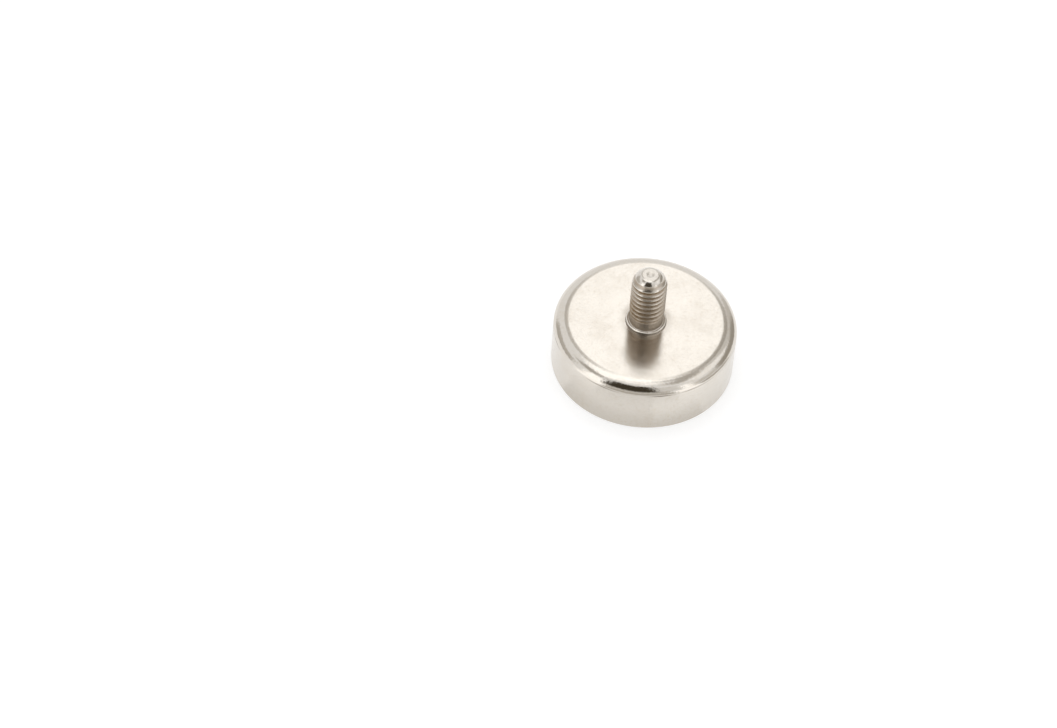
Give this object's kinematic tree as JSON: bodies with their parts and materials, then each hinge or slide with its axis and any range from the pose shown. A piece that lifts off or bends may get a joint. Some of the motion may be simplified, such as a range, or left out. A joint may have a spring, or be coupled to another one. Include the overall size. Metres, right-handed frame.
{
  "type": "pot magnet with threaded stud",
  "caption": "Round pot magnet: a nickel-plated steel pot holds a disc magnet in a recessed ring of resin, with a short threaded stud riveted to its back.",
  "frame": {"origin": "centre of the holding face, which is the plane of the pot's rim and the lowest plane of the part", "axes": "+Z along the axis of the pot and the stud, from the holding face to the stud's tip"},
  "size_m": [0.025, 0.025, 0.017],
  "materials": {
    "pot_steel": "nickel plated, satin faces with polished rounds",
    "magnet_plating": "nickel plated, fine satin sparkle",
    "resin": "matt cast resin",
    "stud_steel": "nickel plated rolled thread"
  },
  "bodies": {
    "root": {"pot": "pot_steel", "magnet": "magnet_plating", "resin_ring": "resin", "stud": "stud_steel"}
  },
  "joints": []
}
